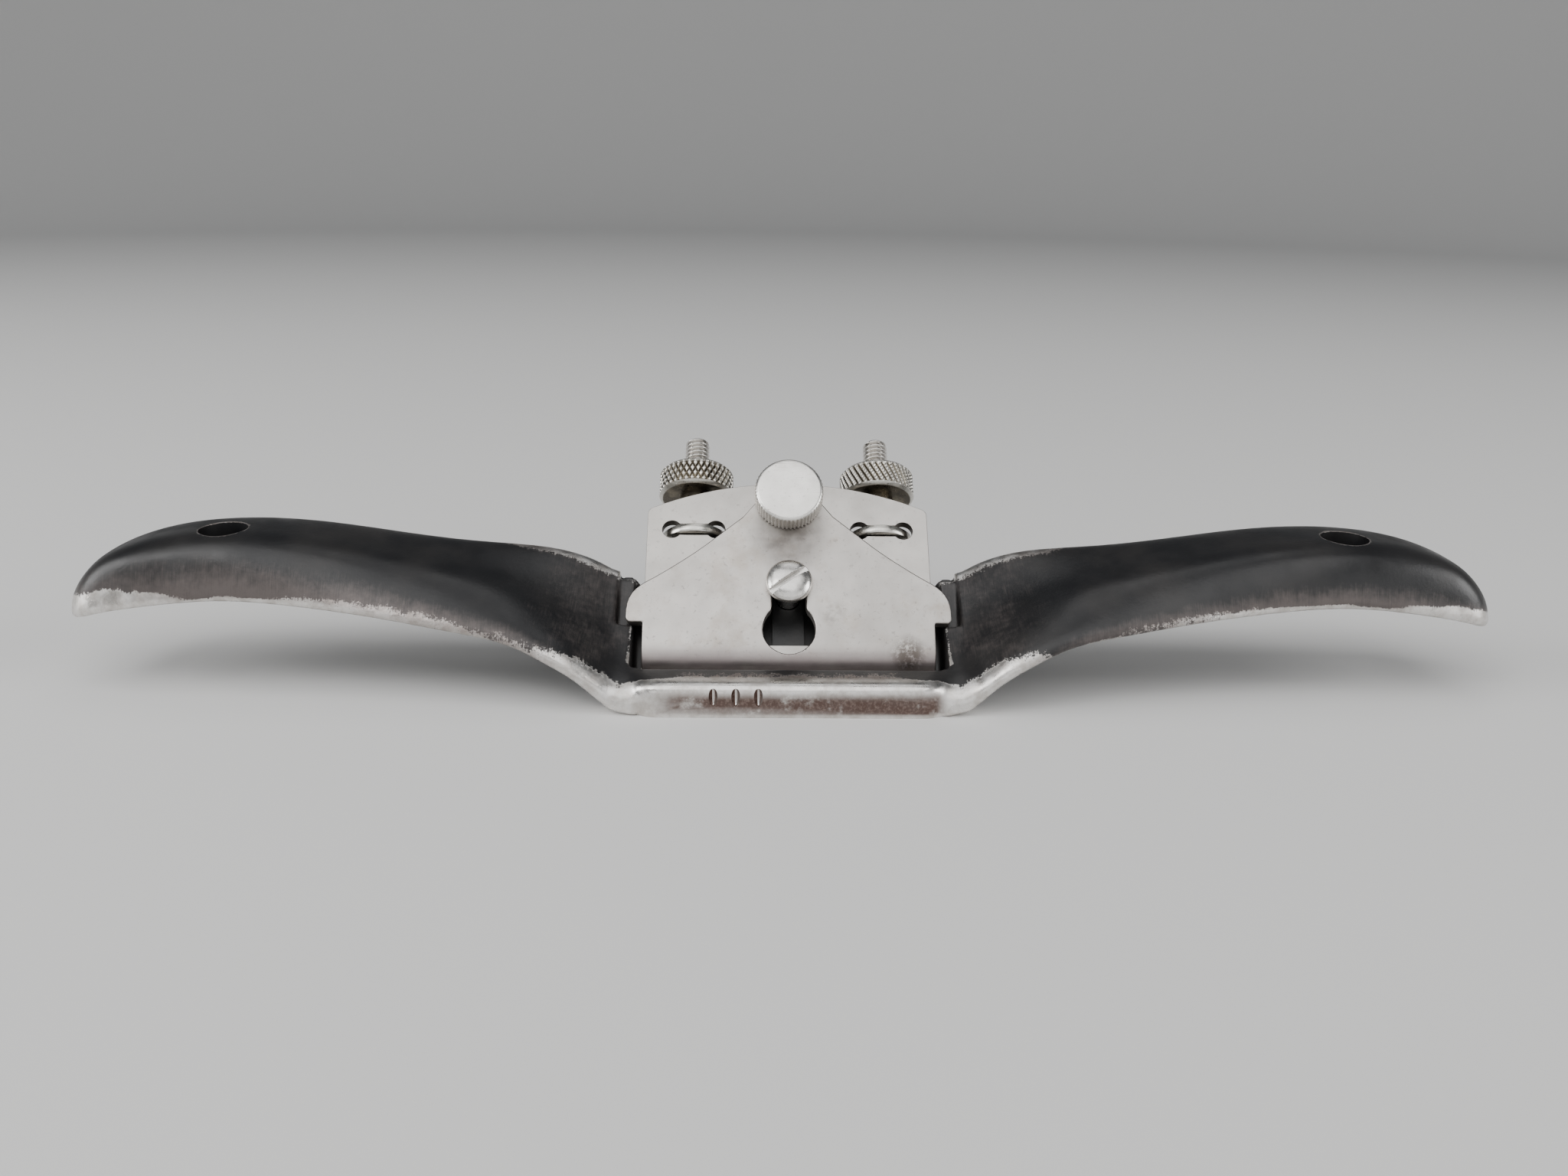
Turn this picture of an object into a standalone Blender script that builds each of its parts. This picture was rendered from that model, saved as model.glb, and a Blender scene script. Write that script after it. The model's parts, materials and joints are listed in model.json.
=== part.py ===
"""Spokeshave with an adjustable cutter and gull-wing handles.

Frame: the flat sole lies on z = 0, +X runs along the tool to its right handle, +Y to the rear,
+Z up. The origin is the middle of the outline seen from above, so the cutting edge lies at
y = EDGE_Y. All sizes below are measured from that edge. The cutter, cap, screws, nuts and studs
are drawn in the bed's frame, turned 45 degrees about X: local Y runs up the cutter, local Z out
of its face.
"""
import math

import bmesh
import bpy
import numpy as np
from mathutils import Matrix

for stale in list(bpy.data.objects):
    bpy.data.objects.remove(stale, do_unlink=True)

MM = 0.001
EDGE_Y = -17.7            # the cutting edge, from the middle of the overall depth

# ---- fits -------------------------------------------------------------------------------------
GAP = 0.3                 # between pieces that touch
SIDE_PLAY = 1.6           # cutter edge to cheek
EAR_PLAY = 1.8            # ear of the cap to the wall of its recess

# ---- cutter -----------------------------------------------------------------------------------
BED_ANGLE = 45.0
CUTTER_WIDTH = 54.0
CUTTER_THICK = 2.0
CUTTER_LENGTH = 44.1      # edge to the crown of the round top
CUTTER_TOP_RADIUS = 65.0
CUTTER_BEVEL_RUN = 4.2
CUTTER_CORNER = 0.8
SLOT_HEIGHT = 33.85       # row of the two dumbbell slots, up from the edge
SLOT_HOLE_RADIUS = 1.85
SLOT_HALF_SPAN = 4.2
SLOT_WIDTH = 2.3
WINDOW_HALF_WIDTH = 5.5   # wide centre slot that clears the cap screw
WINDOW_BOTTOM = 9.7
WINDOW_TOP = 29.5

# ---- adjusters --------------------------------------------------------------------------------
ADJUSTER_INSET = 8.95     # stud axis in from the side of the cutter
STUD_RADIUS = 2.45
THREAD_PITCH = 0.907
THREAD_DEPTH = 0.32
STUD_BOTTOM = 22.5
STUD_TOP = 56.8
NUT_HEAD_RADIUS = 7.35
NUT_HEAD_BOTTOM = 43.5
NUT_HEAD_TOP = 49.0
NUT_NECK_RADIUS = 3.2
NUT_FLANGE_RADIUS = 6.5
NUT_FLANGE_THICK = 1.7
FEED_DOWN = 1.4           # travel of the cutter below the sole
ADJUSTER_X = CUTTER_WIDTH / 2 - ADJUSTER_INSET
STUD_DEPTH = CUTTER_THICK + GAP + NUT_NECK_RADIUS

# ---- lever cap --------------------------------------------------------------------------------
CAP_LIP = 4.4             # its lower edge, up from the cutting edge
CAP_TILT = 5.0            # rise of the cap above the cutter's face
CAP_THICK = 2.6
CAP_INSET = 0.2           # narrower than the cutter, on each side
EAR_REACH = 3.1           # beyond the side of the cap
EAR_BOTTOM = 13.0
NOSE_RADIUS = 6.0
KEYHOLE_RADIUS = 4.85
KEYHOLE_HEIGHT = 11.9
KEYHOLE_NECK = 3.15
CAP_HALF_WIDTH = CUTTER_WIDTH / 2 - CAP_INSET
EAR_HALF_WIDTH = CAP_HALF_WIDTH + EAR_REACH

# ---- screws -----------------------------------------------------------------------------------
CAP_SCREW_HEIGHT = 20.2
CAP_SCREW_HEAD_RADIUS = 4.28
CAP_SCREW_RADIUS = 2.2
CAP_SCREW_SLOT = 1.05
CAP_SCREW_SLOT_ANGLE = 36.0
THUMB_HEIGHT = 37.65      # of its hole in the underside of the cap
THUMB_RADIUS = 6.45
THUMB_HEAD = 4.0
THUMB_SHANK_RADIUS = 2.5
THUMB_KNURLS = 44

# ---- body casting -----------------------------------------------------------------------------
SOLE_FRONT = -10.0
SOLE_REAR = 17.0
SOLE_THICK = 3.2
SOLE_HALF_LENGTH = 28.2
SOLE_CORNER = 5.0
CHEEK_TOP = 22.9          # rear end of the cheeks, up the bed
BAR_REAR = -2.2           # front wall of the mouth
BAR_HEIGHT = 6.0
BAR_ROUND = 1.9
BED_THICK = 6.9
BED_INSET = 1.6           # narrower than the cutter, on each side
BED_HALF_WIDTH = CUTTER_WIDTH / 2 - BED_INSET
BED_TOP = SLOT_HEIGHT - NUT_FLANGE_THICK / 2 - FEED_DOWN - GAP
BED_POCKET = 1.5
RIB_HALF_WIDTH = 2.95
HANG_HOLE_RADIUS = 4.2
HANG_HOLE_X = 100.9
HANG_HOLE_Y = 8.2
NICKS_X = (-13.4, -9.5, -5.6)

CHEEK = CUTTER_WIDTH / 2 + SIDE_PLAY
ROOT_WALL = EAR_HALF_WIDTH + EAR_PLAY

# Cross-sections of a handle, x out from the middle of the tool, then (y, z) of eight points
# round the section: rear edge, rear top, crown, upper front, nose, front bottom, belly, rear bottom.
HANDLE = (
    (25.0, (16.0, 4.0), (14.5, 8.0), (6.0, 7.6), (-3.0, 5.6), (-9.1, 3.6), (-9.1, -0.9), (3.0, -1.0), (14.5, -1.0)),
    (28.6, (18.6, 12.5), (16.8, 17.0), (8.0, 11.2), (-1.0, 6.9), (-8.5, 4.3), (-8.5, -0.1), (3.0, -0.8), (16.0, 1.0)),
    (31.5, (18.9, 13.2), (17.0, 17.6), (8.0, 11.9), (-1.0, 7.8), (-8.3, 4.9), (-8.4, 0.8), (3.0, 0.4), (16.0, 4.5)),
    (34.5, (19.3, 14.4), (17.5, 18.5), (8.5, 13.3), (-0.4, 9.8), (-8.0, 7.2), (-8.3, 3.3), (3.0, 3.0), (16.0, 8.2)),
    (38.0, (20.0, 16.1), (18.0, 20.0), (9.0, 15.2), (0.4, 12.4), (-7.6, 10.0), (-8.1, 6.3), (3.0, 6.6), (16.0, 11.4)),
    (43.0, (20.5, 17.6), (18.3, 21.4), (9.5, 17.5), (1.5, 15.2), (-6.6, 12.5), (-7.2, 9.1), (4.0, 9.9), (17.0, 13.6)),
    (50.0, (21.0, 18.7), (18.5, 22.3), (9.5, 19.9), (2.0, 18.2), (-5.2, 14.8), (-5.8, 11.9), (4.0, 12.6), (17.0, 15.5)),
    (60.0, (21.3, 19.7), (18.5, 23.1), (9.5, 22.1), (2.2, 20.8), (-4.2, 16.4), (-4.5, 13.7), (4.0, 14.6), (17.0, 16.8)),
    (72.0, (21.5, 21.0), (18.5, 24.6), (9.5, 24.4), (2.2, 23.0), (-3.2, 18.0), (-3.4, 15.6), (5.0, 16.2), (17.0, 18.0)),
    (85.0, (21.4, 23.0), (18.2, 26.5), (9.5, 26.8), (2.2, 25.4), (-2.4, 19.7), (-2.4, 17.1), (5.0, 17.7), (17.0, 19.4)),
    (98.0, (20.8, 24.2), (17.4, 27.5), (9.0, 28.1), (1.6, 26.8), (-2.1, 20.8), (-1.9, 17.9), (6.0, 18.0), (16.4, 19.9)),
    (110.0, (19.6, 23.2), (16.0, 26.8), (8.5, 27.4), (1.4, 26.0), (-1.7, 19.7), (-1.4, 16.9), (6.0, 17.5), (15.2, 19.2)),
    (119.0, (17.6, 20.6), (14.4, 24.2), (8.0, 24.9), (1.6, 23.6), (-0.8, 18.0), (-0.5, 15.3), (6.0, 16.2), (13.4, 17.8)),
    (124.0, (15.4, 18.0), (12.8, 20.8), (8.0, 21.7), (2.6, 20.5), (0.2, 16.8), (0.4, 14.0), (6.0, 13.9), (12.0, 15.0)),
    (126.6, (12.0, 16.0), (10.6, 17.8), (7.6, 18.4), (4.0, 17.8), (1.8, 15.4), (1.8, 13.3), (6.0, 13.2), (10.2, 13.9)),
)
HANDLE_END = (127.4, 6.6, 15.4)


def material(name, colour, metallic, roughness):
    made = bpy.data.materials.new(name)
    made.use_nodes = True
    shader = made.node_tree.nodes["Principled BSDF"]
    shader.inputs["Base Color"].default_value = (*colour, 1.0)
    shader.inputs["Metallic"].default_value = metallic
    shader.inputs["Roughness"].default_value = roughness
    return made


def place(name, bm, skin=None, at=(0, 0, 0), tilt=0.0, smooth=False):
    """An object from a mesh drawn in millimetres; tilt turns it about X, in degrees."""
    bmesh.ops.scale(bm, vec=(MM, MM, MM), verts=bm.verts)
    bmesh.ops.recalc_face_normals(bm, faces=bm.faces)
    for face in bm.faces:
        face.smooth = smooth
    data = bpy.data.meshes.new(name)
    bm.to_mesh(data)
    bm.free()
    made = bpy.data.objects.new(name, data)
    bpy.context.scene.collection.objects.link(made)
    made.location = (at[0] * MM, (at[1] + EDGE_Y) * MM, at[2] * MM)
    made.rotation_euler = (math.radians(tilt), 0, 0)
    if skin:
        data.materials.append(skin)
    return made


def up_bed(x, up, out):
    """A point given up the cutter and out of its face."""
    s = math.sqrt(0.5)
    return (x, (up - out) * s, (up + out) * s)


def plate(outline, low, high):
    """A flat plate: an outline in local X, Y, thickness along Z."""
    bm = bmesh.new()
    face = bm.faces.new([bm.verts.new((x, y, low)) for x, y in outline])
    grown = bmesh.ops.extrude_face_region(bm, geom=[face])
    raised = [v for v in grown["geom"] if isinstance(v, bmesh.types.BMVert)]
    bmesh.ops.translate(bm, vec=(0, 0, high - low), verts=raised)
    return bm


def bar(side, half):
    """A bar along X with an outline in local Y, Z."""
    bm = bmesh.new()
    face = bm.faces.new([bm.verts.new((-half, y, z)) for y, z in side])
    grown = bmesh.ops.extrude_face_region(bm, geom=[face])
    raised = [v for v in grown["geom"] if isinstance(v, bmesh.types.BMVert)]
    bmesh.ops.translate(bm, vec=(2 * half, 0, 0), verts=raised)
    return bm


def box(x0, x1, y0, y1, z0, z1):
    return plate([(x0, y0), (x1, y0), (x1, y1), (x0, y1)], z0, z1)


def turned(profile, around):
    """A turned piece: (radius, height) pairs from the axis to the axis, round local Z."""
    bm = bmesh.new()
    line = [bm.verts.new((r, 0, z)) for r, z in profile]
    edges = [bm.edges.new(pair) for pair in zip(line, line[1:])]
    bmesh.ops.spin(
        bm, geom=line + edges, axis=(0, 0, 1), cent=(0, 0, 0), angle=2 * math.pi, steps=around, use_merge=True
    )
    bmesh.ops.remove_doubles(bm, verts=bm.verts, dist=1e-5)
    return bm


def arc(cx, cy, radius, start, end, steps):
    angles = [math.radians(start + (end - start) * i / steps) for i in range(steps + 1)]
    return [(cx + radius * math.cos(a), cy + radius * math.sin(a)) for a in angles]


def rounded(bm, chosen, by, segments=3):
    """Rounds the edges that a test picks by their two ends."""
    edges = [e for e in bm.edges if chosen(e.verts[0].co, e.verts[1].co)]
    bmesh.ops.bevel(
        bm, geom=edges, offset=by, segments=segments, profile=0.5, affect="EDGES", material=-1
    )


def tool(made):
    made.hide_render = True
    made.display_type = "WIRE"
    return made


def boolean(target, operand, operation):
    tool(operand)
    step = target.modifiers.new(operand.name, "BOOLEAN")
    step.object = operand
    step.operation = operation
    step.solver = "EXACT"


def cut(target, operand):
    boolean(target, operand, "DIFFERENCE")


def join(target, operand):
    boolean(target, operand, "UNION")


def keep(target, operand):
    boolean(target, operand, "INTERSECT")


PAINT = material("black_japanning", (0.02, 0.02, 0.022), 0.0, 0.35)
STEEL = material("ground_steel", (0.55, 0.54, 0.52), 1.0, 0.35)
PLATE = material("nickel_plate", (0.62, 0.6, 0.56), 1.0, 0.3)
KNURL = material("knurled_steel", (0.58, 0.56, 0.5), 1.0, 0.35)


# ---- body casting -----------------------------------------------------------------------------
def handle_cage():
    """Control points whose smoothed skin passes through the cross-sections."""
    wanted = np.array([[(x, y, z) for y, z in ring] for x, *ring in HANDLE])
    cage = wanted.copy()
    for _ in range(30):
        across = (np.roll(cage, 1, axis=1) + 4 * cage + np.roll(cage, -1, axis=1)) / 6
        before = np.concatenate([across[:1], across[:-1]])
        after = np.concatenate([across[1:], across[-1:]])
        cage += 0.8 * (wanted - (before + 4 * across + after) / 6)
    return cage


def handle():
    cage = handle_cage()
    bm = bmesh.new()
    rings = [[bm.verts.new(point) for point in ring] for ring in cage]
    for near, far in zip(rings, rings[1:]):
        for i in range(8):
            j = (i + 1) % 8
            bm.faces.new((near[i], near[j], far[j], far[i]))
    bm.faces.new(rings[0][::-1])
    tip = bm.verts.new(HANDLE_END)
    for i in range(8):
        bm.faces.new((rings[-1][i], rings[-1][(i + 1) % 8], tip))
    made = place("handle_blank", bm, smooth=True)
    mirror = made.modifiers.new("other_side", "MIRROR")
    mirror.use_mirror_merge = False
    skin = made.modifiers.new("smooth_skin", "SUBSURF")
    skin.levels = 2
    skin.render_levels = 2
    return made


# Sole and front bar in one, with rounded front corners and a rounded upper front edge.
side = [(SOLE_FRONT, -0.6), (SOLE_REAR, -0.6), (SOLE_REAR, SOLE_THICK), (BAR_REAR + 0.7, SOLE_THICK)]
side += [(BAR_REAR + 0.7, BAR_HEIGHT), (SOLE_FRONT, BAR_HEIGHT)]
bm = bar(side, SOLE_HALF_LENGTH)
rounded(bm, lambda a, b: abs(a.z - b.z) > 5 and a.y < -9, SOLE_CORNER, 6)
rounded(bm, lambda a, b: min(a.z, b.z) > 5.5 and max(a.y, b.y) < -5.5, BAR_ROUND, 4)
body = place("body_casting", bm, PAINT)
join(body, handle())

# Bed plate, wide and low between the cheeks, narrower above them.
low_bed = [(-4.0, -CUTTER_THICK - GAP + 0.6), (19.0, -CUTTER_THICK - GAP + 0.6), (19.0, -9.0), (-4.0, -9.0)]
join(body, place("low_bed_blank", bar(low_bed, CHEEK + 1.0), tilt=BED_ANGLE))
bm = plate(
    [(-BED_HALF_WIDTH, 1.0), (BED_HALF_WIDTH, 1.0), (BED_HALF_WIDTH, BED_TOP), (-BED_HALF_WIDTH, BED_TOP)],
    -CUTTER_THICK - GAP - BED_THICK,
    -CUTTER_THICK - GAP + 0.5,
)
rounded(bm, lambda a, b: a.y > 20 and b.y > 20 and abs(a.z - b.z) > 1, 4.0, 4)
join(body, place("high_bed_blank", bm, tilt=BED_ANGLE))
bm = bar([(9.0, 1.0), (16.4, 1.0), (25.5, 17.0), (18.0, 17.0)], 3.5)
join(body, place("rear_web_blank", bm))
bm = turned([(0, -13.0), (4.6, -13.0), (5.0, -12.4), (5.0, -4.0), (0, -4.0)], 28)
join(body, place("screw_boss_blank", bm, at=up_bed(0, CAP_SCREW_HEIGHT, 0), tilt=BED_ANGLE))

# Mouth and cutter bay: all above the bed between the cheeks, and the mouth through the sole.
bay = [(BAR_REAR, -2.0), (CUTTER_THICK * 1.41421 + GAP * 1.41421 - 2.0, -2.0)]
bay += [(60.0, 60.0 - (CUTTER_THICK + GAP) * 1.41421), (60.0, 90.0), (BAR_REAR, 90.0)]
cut(body, tool(place("cutter_bay", bar(bay, CHEEK))))

# Recess for the ears of the cap.
ear_step = EAR_BOTTOM - GAP - 0.2
ear_floor = [(ear_step, 0.6), (60.0, 0.6), (60.0, 40.0), (ear_step, 40.0)]
cut(body, tool(place("ear_recess", bar(ear_floor, ROOT_WALL), tilt=BED_ANGLE)))
cheek_end = [(CHEEK_TOP, -2.0), (60.0, -2.0), (60.0, 30.0), (CHEEK_TOP, 30.0)]
cut(body, tool(place("cheek_end", bar(cheek_end, ROOT_WALL - 0.02), tilt=BED_ANGLE)))

for side in (-1, 1):
    x0, x1 = sorted((side * RIB_HALF_WIDTH, side * 11.0))
    bm = box(x0, x1, 6.0, 28.0, -CUTTER_THICK - GAP - BED_POCKET, 1.0)
    rounded(bm, lambda a, b: abs(a.z - b.z) > 1, 1.2, 3)
    cut(body, tool(place(f"bed_pocket_{'left' if side < 0 else 'right'}", bm, tilt=BED_ANGLE)))
    bm = turned([(0, 0), (STUD_RADIUS + GAP, 0), (STUD_RADIUS + GAP, 30.0), (0, 30.0)], 32)
    spot = up_bed(side * ADJUSTER_X, STUD_BOTTOM - GAP, -STUD_DEPTH)
    cut(body, tool(place(f"stud_hole_{'left' if side < 0 else 'right'}", bm, at=spot, tilt=-BED_ANGLE)))
    bm = turned([(0, 0), (HANG_HOLE_RADIUS, 0), (HANG_HOLE_RADIUS, 50.0), (0, 50.0)], 40)
    spot = (side * HANG_HOLE_X, HANG_HOLE_Y, 0)
    cut(body, tool(place(f"hang_hole_{'left' if side < 0 else 'right'}", bm, at=spot)))

bm = turned([(0, -30.0), (CAP_SCREW_RADIUS + GAP, -30.0), (CAP_SCREW_RADIUS + GAP, 10.0), (0, 10.0)], 28)
cut(body, tool(place("cap_screw_hole", bm, at=up_bed(0, CAP_SCREW_HEIGHT, 0), tilt=BED_ANGLE)))
for n, x in enumerate(NICKS_X):
    bm = bmesh.new()
    bmesh.ops.create_uvsphere(bm, u_segments=12, v_segments=8, radius=1.0)
    bmesh.ops.scale(bm, vec=(0.7, 0.9, 1.8), verts=bm.verts)
    cut(body, tool(place(f"nick_{n + 1}", bm, at=(x, SOLE_FRONT - 0.3, 4.1))))
cut(body, tool(place("sole_trim", box(-60, 60, -40, 60, -20, 0))))


# ---- cutter -----------------------------------------------------------------------------------
side = [(0.15, 0), (50, 0), (50, -CUTTER_THICK), (CUTTER_BEVEL_RUN, -CUTTER_THICK), (0.15, -0.1)]
cutter = place("cutter", bar(side, CUTTER_WIDTH / 2), STEEL, tilt=BED_ANGLE)
reach = math.degrees(math.asin(CUTTER_WIDTH / 2 / CUTTER_TOP_RADIUS))
centre = CUTTER_LENGTH - CUTTER_TOP_RADIUS
crown = arc(0, centre, CUTTER_TOP_RADIUS, 90 - reach, 90 + reach, 20)
bm = plate([(-CUTTER_WIDTH / 2, -3.0), (CUTTER_WIDTH / 2, -3.0), *crown], -5, 3)
rounded(bm, lambda a, b: abs(a.z - b.z) > 1 and abs(a.x) > CUTTER_WIDTH / 2 - 0.1 and a.y > 10, CUTTER_CORNER, 3)
keep(cutter, tool(place("cutter_outline", bm, tilt=BED_ANGLE)))


def dumbbell(half_span, radius, half_width):
    bite = math.degrees(math.asin(half_width / radius))
    right = arc(half_span, 0, radius, -180 + bite, 180 - bite, 14)
    left = arc(-half_span, 0, radius, bite, 360 - bite, 14)
    return right + left


for side in (-1, 1):
    bm = plate(dumbbell(SLOT_HALF_SPAN, SLOT_HOLE_RADIUS, SLOT_WIDTH / 2), -5, 3)
    spot = up_bed(side * ADJUSTER_X, SLOT_HEIGHT, 0)
    cut(cutter, tool(place(f"cutter_slot_{'left' if side < 0 else 'right'}", bm, at=spot, tilt=BED_ANGLE)))
w = WINDOW_HALF_WIDTH
bm = plate([(-w, WINDOW_BOTTOM), (w, WINDOW_BOTTOM), (w, WINDOW_TOP), (-w, WINDOW_TOP)], -5, 3)
rounded(bm, lambda a, b: abs(a.z - b.z) > 1, 1.2, 3)
cut(cutter, tool(place("cutter_window", bm, tilt=BED_ANGLE)))


# ---- lever cap --------------------------------------------------------------------------------
CAP_COS = math.cos(math.radians(CAP_TILT))


def along_cap(up):
    return (up - CAP_LIP) / CAP_COS


def on_cap(along, out):
    """A point given along the cap and out of its underside."""
    lean = math.radians(CAP_TILT)
    up = CAP_LIP + along * math.cos(lean) - out * math.sin(lean)
    return up_bed(0, up, GAP + along * math.sin(lean) + out * math.cos(lean))


nose = along_cap(THUMB_HEIGHT)
side = [(0, 0), (nose + 9, 0), (nose + 9, CAP_THICK), (3.8, CAP_THICK), (2.4, CAP_THICK - 0.12)]
side += [(1.3, CAP_THICK - 0.5), (0.5, CAP_THICK - 1.1), (0, CAP_THICK - 1.9)]
cap_at = up_bed(0, CAP_LIP, GAP)
cap = place("lever_cap", bar(side, 40.0), PLATE, at=cap_at, tilt=BED_ANGLE + CAP_TILT)
ear = along_cap(EAR_BOTTOM)
right = [(CAP_HALF_WIDTH, -2.0), (CAP_HALF_WIDTH, ear), (EAR_HALF_WIDTH - 0.5, ear), (EAR_HALF_WIDTH, ear + 0.6)]
shoulder = [(0, 2.6), (0.4, 4.6), (1.3, 6.1), (2.7, 7.3), (4.5, 8.5), (7.2, 10.2), (10.0, 12.1), (14.3, 15.3)]
shoulder += [(19.1, 19.3)]
right += [(EAR_HALF_WIDTH - x, ear + y) for x, y in shoulder]
right += arc(0, nose, NOSE_RADIUS, -4, 90, 8)
left = [(-x, y) for x, y in right[-2::-1]]
keep(cap, tool(place("cap_outline", plate(right + left, -6, 8), at=cap_at, tilt=BED_ANGLE + CAP_TILT)))
neck = math.degrees(math.asin(KEYHOLE_NECK / KEYHOLE_RADIUS))
hole = along_cap(KEYHOLE_HEIGHT)
end = along_cap(CAP_SCREW_HEIGHT) + 0.4
keyhole = arc(0, hole, KEYHOLE_RADIUS, 90 + neck + 7, 450 - neck - 7, 30)
keyhole += arc(0, end, KEYHOLE_NECK, 0, 180, 12)
# A short flare where the neck meets the round hole.
flare = KEYHOLE_RADIUS * math.cos(math.radians(neck)) + 0.9
keyhole = keyhole[:31] + [(KEYHOLE_NECK, hole + flare)] + keyhole[31:] + [(-KEYHOLE_NECK, hole + flare)]
cut(cap, tool(place("keyhole", plate(keyhole, -6, 8), at=cap_at, tilt=BED_ANGLE + CAP_TILT)))
bm = turned([(0, -12), (THUMB_SHANK_RADIUS + GAP, -12), (THUMB_SHANK_RADIUS + GAP, 12), (0, 12)], 32)
cut(cap, tool(place("thumb_screw_hole", bm, at=on_cap(nose, 1.0), tilt=BED_ANGLE + CAP_TILT)))


def cap_top(up, out_to):
    """Height of the cap's top above the cutter's face, at the high side of a head resting on it."""
    return GAP + (up - CAP_LIP + out_to) * math.tan(math.radians(CAP_TILT)) + CAP_THICK / CAP_COS


# ---- lever cap screw --------------------------------------------------------------------------
seat = cap_top(CAP_SCREW_HEIGHT, CAP_SCREW_HEAD_RADIUS) + GAP
r = CAP_SCREW_HEAD_RADIUS
shape = [(0, -11.5 - seat), (CAP_SCREW_RADIUS - 0.4, -11.5 - seat), (CAP_SCREW_RADIUS, -11.1 - seat)]
shape += [(CAP_SCREW_RADIUS, 0), (r - 0.2, 0), (r, 0.2), (r, 0.7), (r * 0.93, 1.15), (r * 0.72, 1.68)]
shape += [(r * 0.4, 2.05), (0, 2.2)]
screw_at = up_bed(0, CAP_SCREW_HEIGHT, seat)
screw = place("lever_cap_screw", turned(shape, 40), PLATE, at=screw_at, tilt=BED_ANGLE, smooth=True)
h = CAP_SCREW_SLOT / 2
bm = box(-8, 8, -h, h, 1.0, 6.0)
turn = Matrix.Rotation(math.radians(CAP_SCREW_SLOT_ANGLE), 3, "Z")
bmesh.ops.rotate(bm, cent=(0, 0, 0), verts=bm.verts, matrix=turn)
cut(screw, tool(place("screw_slot", bm, at=screw_at, tilt=BED_ANGLE)))


# ---- thumb screw ------------------------------------------------------------------------------
# It stands square to the cap, and its point stops short of the cutter.
seat = CAP_THICK + GAP
point = -seat - (nose - THUMB_SHANK_RADIUS + 0.5) * math.tan(math.radians(CAP_TILT))


def knurled(bm, count, depth, low, high, radius):
    """Straight knurling: every second point of the rim is pushed in."""
    for v in bm.verts:
        if low < v.co.z < high and math.hypot(v.co.x, v.co.y) > radius - 0.05:
            step = round(math.atan2(v.co.y, v.co.x) / (2 * math.pi) * 2 * count)
            if step % 2:
                v.co.x *= 1 - depth / radius
                v.co.y *= 1 - depth / radius


r = THUMB_RADIUS
shape = [(0, point), (THUMB_SHANK_RADIUS - 0.5, point), (THUMB_SHANK_RADIUS, point + 0.5)]
shape += [(THUMB_SHANK_RADIUS, 0), (r - 0.4, 0), (r, 0.3), (r, THUMB_HEAD - 0.5), (r - 0.5, THUMB_HEAD), (0, THUMB_HEAD)]
bm = turned(shape, THUMB_KNURLS * 2)
knurled(bm, THUMB_KNURLS, 0.3, 0.1, THUMB_HEAD - 0.3, r)
tilt = BED_ANGLE + CAP_TILT
thumb = place("lever_cap_thumb_screw", bm, PLATE, at=on_cap(nose, seat), tilt=tilt, smooth=True)


# ---- adjusting nuts and their studs -----------------------------------------------------------
for side, which in ((-1, "left"), (1, "right")):
    low = -NUT_FLANGE_THICK / 2
    bottom = NUT_HEAD_BOTTOM - SLOT_HEIGHT
    top = NUT_HEAD_TOP - SLOT_HEIGHT
    bore = STUD_RADIUS + GAP
    r = NUT_HEAD_RADIUS
    shape = [(bore, low), (NUT_FLANGE_RADIUS, low), (NUT_FLANGE_RADIUS, -low), (NUT_NECK_RADIUS, -low)]
    shape += [(NUT_NECK_RADIUS, bottom), (r - 1.0, bottom), (r, bottom + 1.0), (r, top - 0.5), (r - 0.5, top), (bore, top)]
    shape.append(shape[0])
    bm = turned(shape, 72)
    knurled(bm, 36, 0.3, bottom + 0.5, top - 0.3, r)
    spot = up_bed(side * ADJUSTER_X, SLOT_HEIGHT, -STUD_DEPTH)
    place(f"adjusting_nut_{which}", bm, KNURL, at=spot, tilt=-BED_ANGLE, smooth=True)

    r = STUD_RADIUS
    length = STUD_TOP - STUD_BOTTOM
    shape = [(0, 0), (r - 0.5, 0), (r, 0.5), (r, 12.0)]
    z = 12.0
    while z + THREAD_PITCH < length - 0.5:
        shape += [(r - THREAD_DEPTH, z + THREAD_PITCH / 2), (r, z + THREAD_PITCH)]
        z += THREAD_PITCH
    shape += [(r - 0.6, length), (0, length)]
    spot = up_bed(side * ADJUSTER_X, STUD_BOTTOM, -STUD_DEPTH)
    place(f"adjuster_stud_{which}", turned(shape, 20), STEEL, at=spot, tilt=-BED_ANGLE, smooth=True)
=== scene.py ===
import json
import math

import bmesh
import bpy
import numpy as np
from mathutils import Matrix, Vector


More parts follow.
